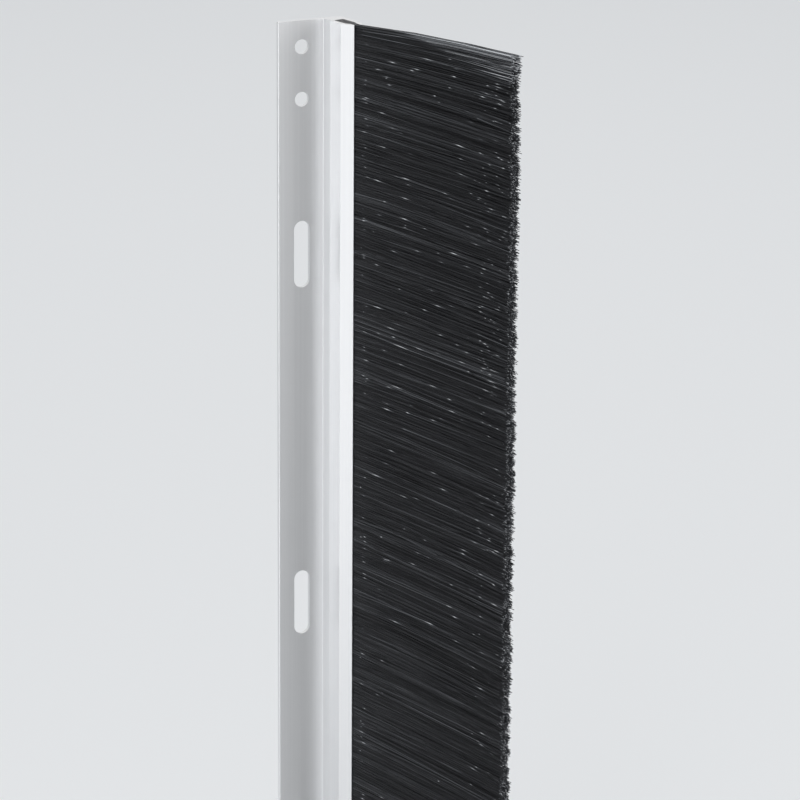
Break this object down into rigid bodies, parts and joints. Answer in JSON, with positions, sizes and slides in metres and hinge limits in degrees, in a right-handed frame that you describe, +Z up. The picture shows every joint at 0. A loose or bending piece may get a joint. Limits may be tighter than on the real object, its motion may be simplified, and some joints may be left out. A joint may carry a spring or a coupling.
{
  "type": "rack brush strip panel",
  "caption": "Upright brush strip for a rack: an extruded aluminium rail with a slotted fixing flange and a slanted clamp that holds a wide field of black bristles.",
  "frame": {"origin": "on the flange's back face, on the line of the fixing holes, half way up the strip", "axes": "+Z up along the strip, +Y out of the flange's back face, +X from the flange's free edge towards the clamp; the bristles point to -Y and +X"},
  "size_m": [0.0639, 0.1316, 0.5893],
  "materials": {
    "carrier_profile": "satin, clear anodised, faint die lines along its length",
    "brush_back": "matte black",
    "core_wire": "drawn wire",
    "bristles": "black nylon filament with a faint sheen"
  },
  "bodies": {
    "root": {"carrier_profile": "carrier_profile", "brush_back": "brush_back", "core_wire": "core_wire", "bristles": "bristles"}
  },
  "joints": []
}
